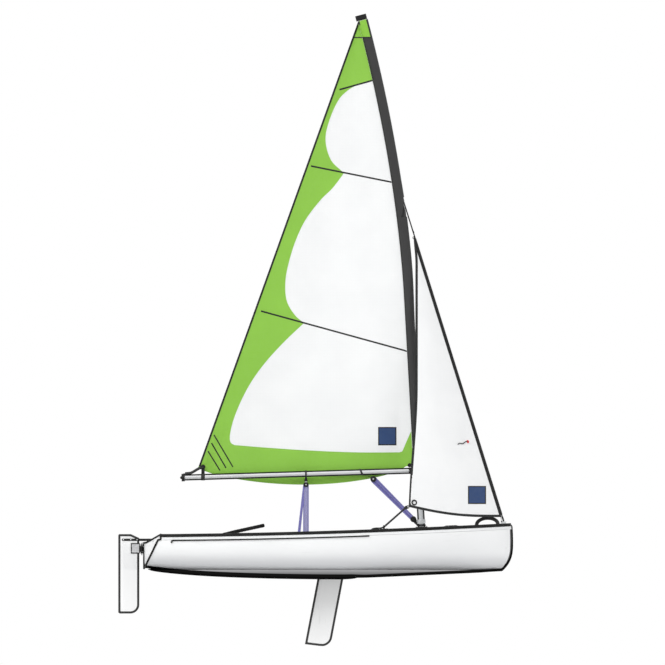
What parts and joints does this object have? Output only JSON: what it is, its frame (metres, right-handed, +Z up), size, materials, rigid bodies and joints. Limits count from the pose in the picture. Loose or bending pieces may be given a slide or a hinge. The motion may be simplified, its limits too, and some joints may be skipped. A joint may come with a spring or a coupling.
{
  "type": "sailing dinghy",
  "caption": "Small decked training dinghy afloat, with sleeved mainsail, jib, turning mast and boom, hung rudder with tiller, and lifting daggerboard.",
  "frame": {"origin": "on the centreline at the waterline of the empty boat, under the middle of the hull", "axes": "+X to the bow, +Y to port, +Z up"},
  "size_m": [3.1858, 1.2098, 5.1117],
  "materials": {
    "hull_plastic": "smooth moulded polyethylene, satin",
    "deck_plastic": "moulded polyethylene with a fine non-slip grain",
    "black_rubber": "satin rubber strip",
    "black_plastic": "moulded glass-filled nylon",
    "webbing": "woven webbing",
    "stainless": "polished stainless",
    "spar_alloy": "satin anodised",
    "black_tube": "black anodised tube with a foam grip",
    "foil_plastic": "moulded foil, light grey with dark edges",
    "sleeve_cloth": "dark woven sleeve cloth",
    "main_cloth": "woven sailcloth, bright green border and white panels",
    "jib_cloth": "white woven sailcloth"
  },
  "bodies": {
    "hull": {"hull_moulding": "hull_plastic", "deck_moulding": "deck_plastic", "gunwale_strake_port": "black_rubber", "gunwale_strake_starboard": "black_rubber", "keel_strip": "black_rubber", "stem_band": "black_rubber", "daggerboard_case": "deck_plastic", "mast_step": "black_plastic", "bow_handle": "black_plastic", "transom_plate": "black_plastic", "gudgeons": "black_plastic", "toe_strap": "webbing", "toe_strap_anchors": "stainless", "mainsheet_base": "black_plastic", "jib_fairlead_port": "black_plastic", "jib_fairlead_starboard": "black_plastic", "drain_plug": "black_plastic", "inspection_hatch": "black_plastic", "bow_plate": "stainless", "forestay": "stainless"},
    "rig": {"lower_mast": "spar_alloy", "upper_mast": "spar_alloy", "mast_cap": "black_plastic", "hounds_fitting": "stainless", "luff_sleeve": "sleeve_cloth", "mainsail": "main_cloth", "gooseneck": "black_plastic", "tack_fitting": "black_plastic", "boom": "spar_alloy", "boom_aft_cap": "black_plastic", "clew_strap": "webbing", "mainsheet_block": "black_plastic", "vang_block": "black_plastic", "vang_bracket": "black_plastic"},
    "jib": {"jib": "jib_cloth", "jib_clew_ring": "stainless"},
    "rudder": {"rudder_blade": "foil_plastic", "rudder_bracket": "spar_alloy", "rudder_pin": "stainless", "tiller": "black_tube", "tiller_joint": "black_rubber", "tiller_extension": "black_tube"},
    "daggerboard": {"daggerboard": "foil_plastic", "daggerboard_head": "black_plastic"}
  },
  "joints": [
    {"name": "boom_swing", "type": "hinge", "parent": "hull", "child": "rig", "pos_m": [0.756, 0, 0.338], "axis": [-0.0558, 0, 0.9984], "range_deg": [-70, 70]},
    {"name": "jib_swing", "type": "hinge", "parent": "hull", "child": "jib", "pos_m": [1.418, 0, 0.39796], "axis": [-0.2986, 0, 0.9544], "range_deg": [0, 30]},
    {"name": "rudder_steer", "type": "hinge", "parent": "hull", "child": "rudder", "pos_m": [-1.505, 0, 0.169], "axis": [0, 0, 1], "range_deg": [-35, 35]},
    {"name": "daggerboard_lift", "type": "slide", "parent": "hull", "child": "daggerboard", "axis": [0.1874, 0, 0.9823], "range_m": [0, 0.42]}
  ]
}
